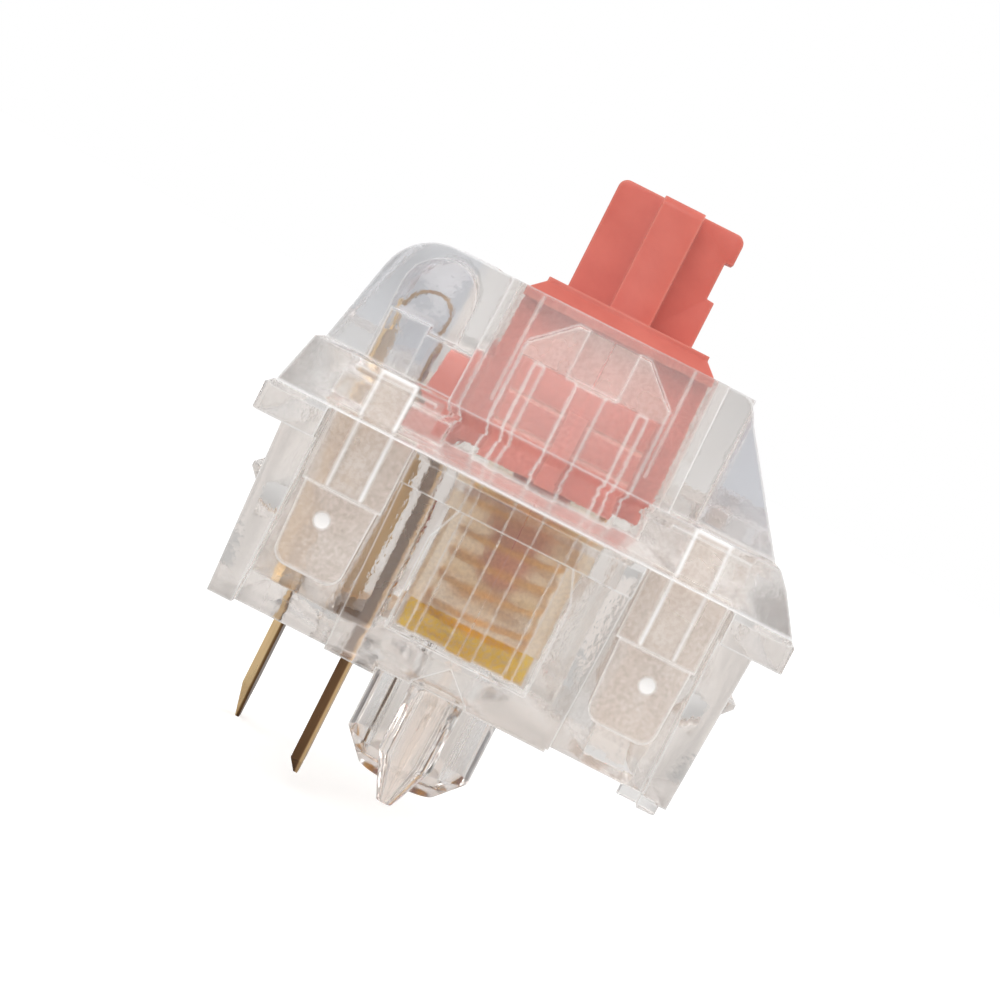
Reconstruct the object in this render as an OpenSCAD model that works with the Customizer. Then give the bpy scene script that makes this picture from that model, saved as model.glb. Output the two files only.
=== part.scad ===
// Mechanical keyboard switch with a cross stem, five-pin, clear two-part housing.
// Millimetres. The origin is on the stem axis at the circuit board surface, +Z is up.
// The contacts are on the -X side, the lamp window is on the +X side, the clips are on -Y and +Y.

/* [Housing body] */
// Width of the square body below the flange, which enters the plate cut-out
body_w = 14.0; // [13.6:0.05:14.2]
// Taper of each body face from the flange down to the floor
body_draft = 0.2; // [0.05:0.01:0.35]
// Height of the flange underside above the board
flange_z = 5.0; // [4.4:0.05:5.6]
// Reach of the flange beyond the body on each side
flange_reach = 0.8; // [0.7:0.02:0.9]
// Thickness of the flange
flange_t = 0.9; // [0.7:0.05:1.1]
// Corner radius of the flange
flange_r = 0.3; // [0.1:0.05:0.8]
// Height of the housing top above the board
top_z = 11.15; // [10.9:0.05:11.6]
// Underside of the floor above the board
floor_z = 0.3; // [0.1:0.05:0.4]
// Thickness of the floor
floor_t = 0.8; // [0.6:0.05:1.0]
// Free distance beside the fixed contact pin in the contact chamber
chamber_gap = 0.36; // [0.3:0.01:0.45]
// Free distance behind the leg of the leaf in the contact chamber
chamber_margin = 0.25; // [0.15:0.01:0.35]
// Free distance between the wall behind the stem and the lamp window
lamp_gap = 0.1; // [0.05:0.05:0.2]
// Thickness of the body wall outside the lamp window
lamp_rim = 0.8; // [0.7:0.05:0.9]
// Depth of the lamp window
lamp_d = 5.0; // [4.2:0.1:5.4]

/* [Posts and pins] */
// Diameter of the centre post
post_d = 3.95; // [3.8:0.05:4.0]
// Length of the centre post below the board surface
post_l = 3.5; // [3.2:0.1:3.7]
// Straight part of the centre post below the board surface
post_straight = 2.7; // [2.2:0.1:2.9]
// Diameter of the flat end of the centre post
post_tip_d = 2.5; // [2.2:0.1:3.0]
// Bore of the centre post that takes the stem pole
post_bore_d = 2.4; // [2.2:0.05:2.6]
// Closed end left at the bottom of the centre post
post_end_t = 0.6; // [0.4:0.1:0.8]
// Diameter of the two fixing pins
fix_d = 1.6; // [1.5:0.05:1.7]
// Distance of each fixing pin from the face of the body
fix_edge = 1.92; // [1.8:0.02:2.1]
// Length of the fixing pins below the board surface
fix_l = 3.3; // [3.0:0.1:3.4]
// Straight part of the fixing pins below the board surface
fix_straight = 1.95; // [1.5:0.05:2.2]
// Diameter of the blunt point of the fixing pins
fix_tip_d = 0.75; // [0.6:0.05:1.0]

/* [Clips] */
// Distance of the middle of each clip leg from the side face of the body
clip_edge = 2.32; // [2.25:0.01:2.4]
// Width of a clip leg
clip_w = 2.34; // [2.2:0.02:2.4]
// Thickness of a clip leg
clip_t = 0.75; // [0.6:0.05:0.85]
// Height of the lower end of a clip leg
clip_z = 1.55; // [1.2:0.05:2.0]
// Corner radius of a clip leg
clip_r = 0.45; // [0.3:0.05:0.6]
// Width of the slot in a clip leg
slot_w = 1.04; // [0.9:0.02:1.1]
// Height of the lower end of the slot, where the catch holds
catch_z = 3.9; // [3.5:0.05:4.2]
// Height of the wedge of the catch
catch_h = 0.9; // [0.6:0.05:1.0]
// Clearance round each clip leg
clip_gap = 0.12; // [0.06:0.01:0.15]
// Reach of the plate clip wedges beyond the body
plate_clip = 0.7; // [0.5:0.05:0.8]
// Height of the upper edge of the plate clip wedges
plate_clip_z = 3.2; // [3.0:0.05:3.5]

/* [Cover] */
// Height of the ledge round the cover
ledge_z = 7.4; // [7.2:0.05:7.7]
// Width of the middle tower of the cover
tower_w = 6.6; // [6.5:0.05:6.8]
// Depth of the tower at the top
tower_top_d = 9.6; // [9.4:0.1:10.0]
// Width of the stem opening
opening_w = 5.98; // [5.94:0.02:6.1]
// Depth of the stem opening
opening_d = 7.3; // [7.24:0.02:7.5]
// Depth of the block over the contacts
block_d = 8.8; // [8.6:0.1:9.2]
// Thickness of the round wall over the leaf chamber
block_wall = 0.51; // [0.4:0.01:0.55]
// Thickness of the roof over the leaf chamber
block_roof = 0.4; // [0.3:0.01:0.45]
// Thickness of the two side webs beside the lamp window
web_t = 0.75; // [0.6:0.05:0.9]
// Distance between the two side webs
web_gap = 6.4; // [6.0:0.1:6.8]
// Thickness of the wall between the stem and the lamp window
lamp_wall_t = 0.9; // [0.6:0.05:0.95]

/* [Stem] */
// Height of the stem top above the board at rest
stem_z = 15.2; // [15.0:0.05:15.4]
// Length of the cross above the shoulder plate
cross_h = 3.55; // [3.4:0.05:3.7]
// Width of the cross along X
cross_w = 4.0; // [3.9:0.02:4.1]
// Depth of the cross along Y
cross_d = 4.1; // [4.0:0.02:4.2]
// Thickness of the arm that lies along X
arm_x_t = 1.17; // [1.05:0.01:1.25]
// Thickness of the arm that lies along Y
arm_y_t = 1.27; // [1.15:0.01:1.35]
// Width of the shoulder plate at the cover
shoulder_w = 5.7; // [5.6:0.02:5.76]
// Depth of the shoulder plate at the cover
shoulder_d = 7.1; // [7.0:0.02:7.14]
// Width of the stem body
stem_w = 5.6; // [5.5:0.02:5.64]
// Depth of the stem body between the guide wings
stem_d = 5.8; // [5.6:0.05:5.9]
// Height of the lower end of the stem body at rest
stem_low_z = 6.1; // [5.9:0.05:6.3]
// Width of the guide wings
wing_w = 4.0; // [3.8:0.05:4.1]
// Depth over the guide wings
wing_d = 8.2; // [8.1:0.02:8.3]
// Height of the upper end of the guide wings at rest
wing_z = 9.2; // [9.0:0.05:9.4]
// Width of the rail on each guide wing
rail_w = 0.6; // [0.5:0.02:0.7]
// Reach of the rail beyond the guide wing
rail_t = 0.4; // [0.3:0.05:0.5]
// Diameter of the pole that runs in the centre post
pole_d = 1.85; // [1.7:0.05:1.95]
// Height of the lower end of the pole at rest
pole_z = 2.7; // [2.5:0.05:2.9]
// Free distance between the stem and its guides
slide_gap = 0.13; // [0.1:0.01:0.16]
// Travel of the stem
travel = 4.0; // [3.6:0.1:4.0]

/* [Spring] */
// Outer diameter of the return spring
spring_d = 4.2; // [4.1:0.02:4.3]
// Wire diameter of the return spring
wire_d = 0.22; // [0.18:0.01:0.26]
// Number of open turns
open_turns = 9; // [7:1:12]
// Number of closed turns at each end
end_turns = 1.5; // [1:0.5:2]

/* [Contacts] */
// Thickness of the fixed contact strips
strip_t = 0.34; // [0.25:0.01:0.4]
// Thickness of the springy contact leaf
leaf_t = 0.1; // [0.08:0.01:0.14]
// Width of the contact pins
pin_w = 1.15; // [0.9:0.05:1.25]
// Length of the fixed contact pin below the board surface
fixed_pin_l = 3.9; // [3.7:0.1:4.0]
// Length of the moving contact pin below the board surface
moving_pin_l = 4.5; // [4.2:0.1:4.7]
// Distance of the fixed contact pin from the axis along X
fixed_pin_x = 2.7; // [2.65:0.01:2.75]
// Distance of the fixed contact pin from the axis along Y
fixed_pin_y = 3.81; // [3.75:0.01:3.87]
// Distance of the moving contact pin from the side face of the body
moving_pin_edge = 1.7; // [1.65:0.01:1.8]
// Distance of the moving contact pin from the axis along Y
moving_pin_y = 2.54; // [2.45:0.01:2.6]
// Distance of the inner face of the leaf from the axis
leaf_x = 4.39; // [4.35:0.01:4.45]
// Distance of the fixed leg of the leaf from the side face of the body
leg_edge = 1.08; // [1.04:0.01:1.12]
// Height of the bend centre of the leaf
bend_z = 9.0; // [8.95:0.01:9.05]
// Distance between the contact points at rest
point_gap = 0.41; // [0.38:0.01:0.5]
// Angle through which the leaf swings over the whole travel
leaf_swing = 7.5; // [6.5:0.1:7.8]
// Width of the contact leaf
leaf_w = 4.2; // [4.1:0.02:4.3]
// Width of the strap that forms the bend of the leaf
strap_w = 1.0; // [0.8:0.05:1.4]
// Height of the lower ends of the two arms of the leaf
arm_low_z = 5.5; // [5.45:0.01:5.6]
// Height of the contact points
point_z = 6.3; // [6.2:0.05:6.4]
// Reach of each contact point from its strip
point_h = 0.3; // [0.2:0.01:0.32]

/* [Hidden] */
$fn = 48;
past = 1;
touch = 0.03;
clear_colour = [0.87, 0.84, 0.82, 0.45];
stem_colour = [0.87, 0.49, 0.43];
brass_colour = [0.62, 0.47, 0.28];
gold_colour = [0.85, 0.68, 0.27];

half_body = body_w / 2;
clip_x = half_body - clip_edge;
lamp_x = tower_w / 2 + lamp_wall_t + lamp_gap;
lamp_end = half_body - lamp_rim;
fix_y = half_body - fix_edge;
moving_pin_x = half_body - moving_pin_edge;
half_foot = half_body - body_draft;
flange_w = body_w + 2 * flange_reach;
half_flange = flange_w / 2;
rim_z = flange_z + flange_t;
mid_floor_z = floor_z - 0.1;
well_z = floor_z + floor_t;
tower_inset = 0.6;
tower_foot_d = flange_w - 2 * tower_inset;
chamber_sink = 0.3;
chamber_z = well_z - chamber_sink;
shoulder_z = stem_z - cross_h;
shoulder_h = 0.47;
shoulder_sink = 0.4;
shoulder_low_z = top_z - shoulder_sink;
shoulder_inset = 0.35;
shoulder_lip = 0.14;
spring_roof_z = 9.45;

wing_pocket_w = wing_w + 2 * slide_gap;
wing_pocket_d = wing_d + 2 * slide_gap;
groove_w = rail_w + 2 * slide_gap;
groove_d = wing_d + 2 * rail_t + 2 * slide_gap;
body_pocket_w = stem_w + 2 * slide_gap;
body_pocket_d = stem_d + 2 * slide_gap;
pocket_roof_z = 10.7;
pocket_chamfer = 1.06;
stop_w = 1.5;
tube_d = 3.2;
tube_h = 1.3;

recess_d = clip_t + clip_gap;
clip_skin = 0.28;
clip_face = 0.02;
clip_inset = 0.1;
clip_foot_w = clip_w - 0.34;
slot_lean = 0.12;
skirt_gap = 0.12;

leaf_face = -leaf_x;
strip_face = leg_edge - half_body;
bend_r = (leaf_face - strip_face - leaf_t - touch) / 2;
bend_x = leaf_x + leaf_t / 2 + bend_r;
bend_outer = bend_r + leaf_t / 2;
arch_gap = 0.34;
arch_shift = 0.12;
arch_r = bend_outer + arch_gap;
arch_x = arch_shift - bend_x;
block_r = arch_r + block_wall;
leaf_room_z = 8.65;

tongue_x = leaf_face + 2 * point_h + point_gap;
tongue_w = 2.0;
tongue_z = point_z + 0.6;
leaf_slit_z = point_z + 0.6;
leaf_wide_z = bend_z - 0.8;
arm_w = 1.0;
cam_w = 0.8;
cam_y = 1.25;
cam_top_z = leaf_room_z - 0.15;
cam_low_z = arm_low_z - 0.2;
chamber_d = 2 * (fixed_pin_y + pin_w / 2 + chamber_gap);
chamber_reach = leaf_t - strip_face + chamber_margin;
arm_l = bend_z - arm_low_z;
cam_slope = (bend_outer * (cos(leaf_swing) - 1) + arm_l * sin(leaf_swing)) / travel;

wire_r = wire_d / 2;
coil_r = spring_d / 2 - wire_r;
coil_steps = 24;
wire_sides = 8;
coil_turns = open_turns + 2 * end_turns;
closed_pitch = wire_d * 1.05;
coil_low = well_z + wire_r;
coil_high = spring_roof_z - wire_r;

// Box between two corners
module block(low, high) {
    translate(low)
        cube(high - low);
}

// Box centred on the axis in X and Y
module centred(w, d, z0, z1) {
    translate([-w / 2, -d / 2, z0])
        cube([w, d, z1 - z0]);
}

// Profile in X and Z, extruded along Y to both sides of the axis
module along_y(d) {
    translate([0, d / 2, 0])
        rotate([90, 0, 0])
            linear_extrude(d)
                children();
}

// Profile in Y and Z, extruded along X from x0 to x1
module along_x(x0, x1) {
    translate([x0, 0, 0])
        rotate([90, 0, 90])
            linear_extrude(x1 - x0)
                children();
}

// Block whose four sides lean, from one width and depth to another
module leaning_block(w0, d0, z0, w1, d1, z1) {
    intersection() {
        along_y(max(d0, d1))
            polygon([[-w0 / 2, z0], [w0 / 2, z0], [w1 / 2, z1], [-w1 / 2, z1]]);
        along_x(-max(w0, w1) / 2, max(w0, w1) / 2)
            polygon([[-d0 / 2, z0], [d0 / 2, z0], [d1 / 2, z1], [-d1 / 2, z1]]);
    }
}

// Flat rectangle with round corners
module round_rect(w, d, r) {
    square([w - 2 * r, d], center = true);
    square([w, d - 2 * r], center = true);
    for (sx = [-1, 1], sy = [-1, 1])
        translate([sx * (w / 2 - r), sy * (d / 2 - r)])
            circle(r);
}

// Copies to the four clip places, with Y = 0 on the body face
module at_clips() {
    for (mx = [0, 1], my = [0, 1])
        mirror([mx, 0, 0])
            mirror([0, my, 0])
                translate([clip_x, -half_body, 0])
                    children();
}

// Copies to the -Y and +Y sides
module both_sides() {
    for (my = [0, 1])
        mirror([0, my, 0])
            children();
}

// Pin with a straight shank and a blunt point, downwards from the floor
module pointed_pin(d, straight, tip_d, length) {
    cone_l = (length - straight) * 0.76;
    translate([0, 0, -straight])
        cylinder(h = straight + well_z, d = d);
    translate([0, 0, -straight - cone_l])
        cylinder(h = cone_l, d1 = tip_d, d2 = d);
    translate([0, 0, -length])
        cylinder(h = length - straight - cone_l, d1 = tip_d * 0.6, d2 = tip_d);
}

// Room under the floor: two levels beside the seating foot, and a ring round each post
module foot_relief() {
    foot_x = -1.8;
    step_x = 3.22;
    nub_w = 1.15;
    nub_d = 1.1;
    nub_r = 0.3;
    nub_x = half_foot - nub_w / 2 - 0.17;
    nub_y = half_foot - nub_d / 2;
    ring = 1.2;
    difference() {
        union() {
            block([foot_x, -body_w, -past], [step_x + touch, body_w, mid_floor_z]);
            block([step_x, -body_w, -past], [body_w, body_w, floor_z]);
        }
        for (sy = [-1, 1])
            translate([nub_x, sy * nub_y, 0])
                linear_extrude(floor_z + past)
                    round_rect(nub_w, nub_d, nub_r);
    }
    translate([0, 0, -past])
        cylinder(h = mid_floor_z + past, d = post_d + 2 * ring);
    for (sy = [-1, 1])
        translate([0, sy * fix_y, -past])
            cylinder(h = mid_floor_z + past, d = fix_d + 2 * ring);
}

// Flange with a chamfer round its upper edge
module flange() {
    chamfer = 0.15;
    outline = [[-half_flange, flange_z], [half_flange, flange_z], [half_flange, rim_z - chamfer],
        [half_flange - chamfer, rim_z], [-half_flange + chamfer, rim_z], [-half_flange, rim_z - chamfer]];
    intersection() {
        translate([0, 0, flange_z])
            linear_extrude(flange_t)
                round_rect(flange_w, flange_w, flange_r);
        along_y(flange_w)
            polygon(outline);
        along_x(-half_flange, half_flange)
            polygon(outline);
    }
}

// Outer form of the lower housing, with its seating feet and posts
module lower_shell() {
    difference() {
        leaning_block(2 * half_foot, 2 * half_foot, 0, body_w, body_w, flange_z + touch);
        foot_relief();
    }
    flange();
    translate([0, 0, -post_straight])
        cylinder(h = post_straight + well_z, d = post_d);
    translate([0, 0, -post_l])
        cylinder(h = post_l - post_straight, d1 = post_tip_d, d2 = post_d);
    for (sy = [-1, 1])
        translate([0, sy * fix_y, 0])
            pointed_pin(fix_d, fix_straight, fix_tip_d, fix_l);
}

// Wedges that snap behind the edge of the plate, on the -X and +X faces
module plate_wedges() {
    wedge_d = 4.4;
    wedge_h = 1.5;
    root = 0.3;
    lip = 0.15;
    for (mx = [0, 1])
        mirror([mx, 0, 0])
            along_y(wedge_d)
                polygon([[half_foot - root, plate_clip_z], [half_body + plate_clip, plate_clip_z],
                    [half_body + plate_clip, plate_clip_z - lip], [half_foot - root, plate_clip_z - wedge_h]]);
}

// Catches that hold the clip legs
module catches() {
    catch_w = slot_w - 2 * slot_lean - 2 * clip_gap;
    low = catch_z + touch;
    nose = 0.25;
    at_clips()
        along_x(-catch_w / 2, catch_w / 2)
            polygon([[recess_d + touch, low], [clip_skin + clip_gap, low],
                [clip_skin + clip_gap, low + nose], [recess_d + touch, low + catch_h]]);
}

// Shallow upright grooves beside the rail, where the guide wings run
module guide_grooves(z0, z1) {
    guide_x = 1.55;
    guide_w = 0.28;
    guide_t = 0.15;
    for (sx = [-1, 1])
        translate([sx * guide_x, 0, 0])
            centred(guide_w, wing_pocket_d + 2 * guide_t, z0, z1);
}

// Hollow of the lower housing
module lower_hollow() {
    above = rim_z + past;
    block([-chamber_reach, -chamber_d / 2, chamber_z], [-fixed_pin_x + strip_t / 2 + touch, chamber_d / 2, above]);
    centred(body_pocket_w, body_pocket_d, well_z, above);
    centred(wing_pocket_w, wing_pocket_d, well_z, above);
    centred(groove_w, groove_d, well_z, above);
    guide_grooves(well_z, above);
    block([lamp_x, -lamp_d / 2, -past], [lamp_end, lamp_d / 2, above]);
}

// Recesses for the clip legs, a little wider towards the floor
module clip_recesses() {
    top_w = clip_w + 2 * clip_gap;
    low_w = top_w + 0.24;
    at_clips()
        translate([0, recess_d, 0])
            rotate([90, 0, 0])
                linear_extrude(recess_d + flange_w)
                    polygon([[-low_w / 2, -past], [low_w / 2, -past], [top_w / 2, flange_z],
                        [top_w / 2, rim_z + past], [-top_w / 2, rim_z + past], [-top_w / 2, flange_z]]);
}

// Guide tube round the stem pole, with the bore that runs down into the centre post
module guide_tube_wall() {
    translate([0, 0, well_z - touch])
        cylinder(h = tube_h + touch, d = tube_d);
}

// Shallow field in the outer wall between the clips, with slanted upper corners
module wall_field() {
    field_w = 4.16;
    field_low = 1.3;
    field_depth = 0.3;
    lean = 0.4;
    both_sides()
        translate([0, -half_body - past, 0])
            mirror([0, 1, 0])
                rotate([90, 0, 0])
                    linear_extrude(past + field_depth)
                        polygon([[-field_w / 2, field_low], [field_w / 2, field_low],
                            [field_w / 2, flange_z - past], [field_w / 2 - lean, flange_z],
                            [-field_w / 2 + lean, flange_z], [-field_w / 2, flange_z - past]]);
}

// Notch in the foot of the wall above each fixing pin
module pin_notch() {
    notch_h = 0.75;
    notch_depth = 0.55;
    both_sides()
        translate([0, -half_body - past, 0])
            mirror([0, 1, 0])
                rotate([90, 0, 0])
                    linear_extrude(past + notch_depth)
                        polygon([[-fix_d / 2, floor_z - past], [-fix_d / 2, floor_z],
                            [0, floor_z + notch_h], [fix_d / 2, floor_z], [fix_d / 2, floor_z - past]]);
}

module bottom_housing() {
    pin_gap = 0.02;
    color(clear_colour)
        difference() {
            union() {
                difference() {
                    union() {
                        lower_shell();
                        plate_wedges();
                    }
                    lower_hollow();
                    clip_recesses();
                    wall_field();
                    pin_notch();
                }
                catches();
                guide_tube_wall();
            }
            translate([0, 0, -post_l + post_end_t])
                cylinder(h = post_l - post_end_t + well_z + tube_h + past, d = post_bore_d);
            translate([-fixed_pin_x, -fixed_pin_y, 0])
                centred(strip_t + 2 * pin_gap, pin_w + 2 * pin_gap, -past, well_z);
            translate([-moving_pin_x, moving_pin_y, 0])
                centred(strip_t + 2 * pin_gap, pin_w + 2 * pin_gap, -past, well_z);
        }
}

// Outline of the foot of one clip leg in X and Z
module clip_foot_outline() {
    step = 0.1;
    polygon([[-clip_w / 2 + step, catch_z], [-clip_foot_w / 2, clip_z + clip_r],
        [-clip_foot_w / 2 + clip_r, clip_z], [clip_foot_w / 2 - clip_r, clip_z],
        [clip_foot_w / 2, clip_z + clip_r], [clip_w / 2 - step, catch_z]]);
    for (sx = [-1, 1])
        translate([sx * (clip_foot_w / 2 - clip_r), clip_z + clip_r])
            circle(clip_r);
}

// Four legs that hold the cover on the lower housing, with an ejector mark on each foot
module clip_legs() {
    mark_d = 0.42;
    mark_x = 0.17;
    mark_z = 3.07;
    mark_t = 0.08;
    at_clips()
        difference() {
            translate([0, clip_t, 0])
                rotate([90, 0, 0]) {
                    linear_extrude(clip_t - clip_face)
                        clip_foot_outline();
                    linear_extrude(clip_t - clip_inset)
                        translate([-clip_w / 2, catch_z - touch])
                            square([clip_w, ledge_z - 0.2 - catch_z + touch]);
                }
            translate([mark_x, -past, mark_z])
                rotate([-90, 0, 0])
                    cylinder(h = past + clip_face + mark_t, d = mark_d);
        }
}

// Slots behind the skin of the legs, open at the ledge, with leaning sides
module clip_slots() {
    half = slot_w / 2;
    at_clips()
        translate([0, 0, catch_z])
            linear_extrude(ledge_z - catch_z + past)
                polygon([[-half, clip_skin], [half, clip_skin],
                    [half - slot_lean, recess_d], [-half + slot_lean, recess_d]]);
}

// Skirt that rests on the flange
module skirt() {
    foot = half_flange - skirt_gap;
    left_lean = 0.34;
    right_lean = 0.7;
    round_h = 0.4;
    side_foot = foot - 0.2;
    side_lean = 0.75;
    intersection() {
        along_y(flange_w)
            polygon([[-foot + 0.1, rim_z], [foot, rim_z], [foot - right_lean, ledge_z - round_h],
                [foot - 1.5 * right_lean, ledge_z], [-foot + 0.1 + left_lean, ledge_z]]);
        along_x(-half_flange, half_flange)
            polygon([[-side_foot, rim_z], [side_foot, rim_z],
                [side_foot - side_lean, ledge_z], [-side_foot + side_lean, ledge_z]]);
    }
}

// Tower in the middle, with leaning faces above the skirt
module tower() {
    edge_z = rim_z + 0.25;
    along_x(-tower_w / 2, tower_w / 2)
        polygon([[-tower_foot_d / 2, rim_z], [tower_foot_d / 2, rim_z], [tower_foot_d / 2, edge_z],
            [tower_top_d / 2, top_z], [-tower_top_d / 2, top_z], [-tower_foot_d / 2, edge_z]]);
}

// Rounded block over the contacts
module contact_block() {
    pad_w = 1.1;
    pad_d = 4.4;
    pad_t = 0.06;
    pad_x = -4.45;
    lean = 13;
    side_lean = 0.2;
    centre_x = arch_x - 0.05;
    centre_z = top_z - block_r;
    side_x = centre_x - block_r * cos(lean);
    side_z = centre_z + block_r * sin(lean);
    foot_x = side_x - tan(lean) * (side_z - ledge_z + touch);
    intersection() {
        along_y(flange_w) {
            polygon([[foot_x, ledge_z - touch], [side_x, side_z], [centre_x, top_z],
                [-tower_w / 2 + touch, top_z], [-tower_w / 2 + touch, ledge_z - touch]]);
            translate([centre_x, centre_z])
                circle(block_r);
        }
        along_x(-half_flange, 0)
            polygon([[-block_d / 2 - side_lean, ledge_z - past], [block_d / 2 + side_lean, ledge_z - past],
                [block_d / 2, top_z + touch], [-block_d / 2, top_z + touch]]);
    }
    translate([pad_x, 0, 0])
        centred(pad_w, pad_d, top_z - touch, top_z + pad_t);
}

// Two webs and the inner wall of the lamp window
module lamp_bay() {
    web_low = ledge_z - touch;
    web_foot_x = half_flange - 1.11;
    lean = 0.735;
    corner_x = lamp_x + 0.12;
    corner_z = ledge_z + (web_foot_x - corner_x) / lean;
    both_sides()
        translate([0, -web_gap / 2, 0])
            rotate([90, 0, 0])
                linear_extrude(web_t)
                    polygon([[tower_w / 2 - touch, web_low], [web_foot_x, web_low], [corner_x, corner_z],
                        [corner_x - 0.16, top_z - 0.36], [corner_x - 0.33, top_z - 0.1],
                        [corner_x - 0.59, top_z], [tower_w / 2 - touch, top_z]]);
    block([tower_w / 2 - touch, -web_gap / 2 - touch, web_low],
        [tower_w / 2 + lamp_wall_t, web_gap / 2 + touch, top_z]);
}

// Pocket for the guide wings, with slanted upper corners and a stop in the middle
module wing_pocket() {
    half = wing_pocket_w / 2;
    difference() {
        along_y(wing_pocket_d)
            polygon([[-half, rim_z - past], [half, rim_z - past], [half, pocket_roof_z - pocket_chamfer],
                [half - pocket_chamfer, pocket_roof_z], [-half + pocket_chamfer, pocket_roof_z],
                [-half, pocket_roof_z - pocket_chamfer]]);
        both_sides()
            block([-stop_w / 2, -wing_pocket_d, wing_z + touch], [stop_w / 2, -opening_d / 2, top_z]);
    }
    centred(groove_w, groove_d, rim_z - past, wing_z + touch);
    guide_grooves(rim_z - past, wing_z + touch);
}

// Chamber for the contact leaf, with a round roof, and the room for the two cams
module leaf_chamber() {
    arch_d = leaf_w + 0.4;
    arch_z = top_z - block_roof - arch_r;
    low = rim_z - past;
    side_d = 6.4;
    side_z = leaf_room_z + 0.2;
    room_x = -bend_x + 0.35;
    room_d = 7.8;
    cam_room_d = 2 * (cam_y + cam_w) + 0.7;
    along_y(arch_d) {
        translate([arch_x, arch_z])
            circle(arch_r);
        translate([arch_x - arch_r, low])
            square([2 * arch_r, arch_z - low]);
    }
    block([arch_x - arch_r + 0.12, -side_d / 2, low], [room_x + touch, side_d / 2, side_z]);
    block([room_x, -room_d / 2, low], [-tower_w / 2, room_d / 2, leaf_room_z]);
    block([room_x, -cam_room_d / 2, low], [-opening_w / 2 + touch, cam_room_d / 2, leaf_room_z]);
}

module top_housing() {
    chamber_h = 0.7;
    color(clear_colour)
        difference() {
            union() {
                skirt();
                tower();
                contact_block();
                lamp_bay();
                clip_legs();
            }
            centred(opening_w, opening_d, rim_z - past, top_z + past);
            wing_pocket();
            leaf_chamber();
            block([-chamber_reach, -chamber_d / 2, rim_z - past], [-opening_w / 2, chamber_d / 2, rim_z + chamber_h]);
            clip_slots();
            block([lamp_x, -lamp_d / 2, rim_z - past], [lamp_end, lamp_d / 2, top_z + past]);
        }
}

// Upright rectangle with round upper corners
module arm_outline(w, h, r) {
    translate([-w / 2, 0])
        square([w, h - r]);
    translate([-w / 2 + r, 0])
        square([w - 2 * r, h]);
    for (sx = [-1, 1])
        translate([sx * (w / 2 - r), h - r])
            circle(r);
}

// Cross that takes the keycap
module stem_cross() {
    low = shoulder_z - 0.1;
    corner = 0.28;
    notch_h = 1.15;
    notch_low = shoulder_z + 1.5;
    notch_high = notch_low + notch_h;
    notch_t = 0.24;
    notch_lean = 0.1;
    difference() {
        translate([0, 0, low])
            along_y(arm_x_t)
                arm_outline(cross_w, stem_z - low, corner);
        along_y(arm_x_t + past)
            polygon([[cross_w / 2 - notch_t, notch_low], [cross_w / 2 + past, notch_low - notch_lean],
                [cross_w / 2 + past, notch_high + notch_lean], [cross_w / 2 - notch_t, notch_high]]);
    }
    translate([0, 0, low])
        along_x(-arm_y_t / 2, arm_y_t / 2)
            arm_outline(cross_d, stem_z - low, corner);
}

// Cams that hold the contact leaf away at rest, one on each side of the fixed contact
module cams() {
    face = leaf_face + touch;
    top_face = face + cam_slope * (cam_top_z - arm_low_z);
    low_face = face - cam_slope * (arm_low_z - cam_low_z);
    root = -stem_w / 2 + 0.2;
    for (sy = [-1, 1])
        translate([0, sy * (cam_y + cam_w / 2), 0])
            along_y(cam_w)
                polygon([[root, cam_low_z], [low_face, cam_low_z], [top_face, cam_top_z], [root, cam_top_z]]);
}

// Shallow lines across the guide wings
module wing_lines() {
    line_h = 0.1;
    line_t = 0.07;
    both_sides()
        for (z = [wing_z - 1.05, wing_z - 2])
            block([-wing_w, -wing_d, z], [wing_w, -wing_d / 2 + line_t, z + line_h]);
}

module stem() {
    bore_d = spring_d + 0.5;
    top_w = shoulder_w - 2 * shoulder_inset;
    top_d = shoulder_d - 2 * shoulder_inset;
    rail_z = wing_z - 0.75;
    tip_h = 0.25;
    color(stem_colour) {
        stem_cross();
        difference() {
            union() {
                leaning_block(shoulder_w, shoulder_d, top_z + touch, top_w, top_d, shoulder_z - shoulder_lip);
                centred(top_w, top_d, top_z, shoulder_z);
                centred(shoulder_w, shoulder_d, shoulder_low_z, top_z + touch);
                centred(stem_w, stem_d, stem_low_z, shoulder_low_z + touch);
                difference() {
                    centred(wing_w, wing_d, stem_low_z, wing_z);
                    wing_lines();
                }
                centred(rail_w, wing_d + 2 * rail_t, stem_low_z, rail_z);
                cams();
            }
            translate([0, 0, stem_low_z - past])
                cylinder(h = spring_roof_z - stem_low_z + past, d = bore_d);
        }
        translate([0, 0, pole_z + tip_h])
            cylinder(h = spring_roof_z - pole_z, d = pole_d);
        translate([0, 0, pole_z])
            cylinder(h = tip_h, d1 = pole_d - 0.4, d2 = pole_d);
    }
}

// Height of the wire after a number of turns from the lower end
function coil_z(turn) =
    let (closed_h = end_turns * closed_pitch,
        open_pitch = (coil_high - coil_low - 2 * closed_h) / open_turns)
    turn < end_turns ? coil_low + turn * closed_pitch
    : turn > end_turns + open_turns ? coil_high - (coil_turns - turn) * closed_pitch
    : coil_low + closed_h + (turn - end_turns) * open_pitch;

// Ring of points round the wire after a number of turns
function wire_ring(turn) =
    [for (k = [0 : wire_sides - 1])
        let (a = 360 * k / wire_sides, r = coil_r + wire_r * cos(a))
        [r * cos(360 * turn), r * sin(360 * turn), coil_z(turn) + wire_r * sin(a)]];

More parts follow.
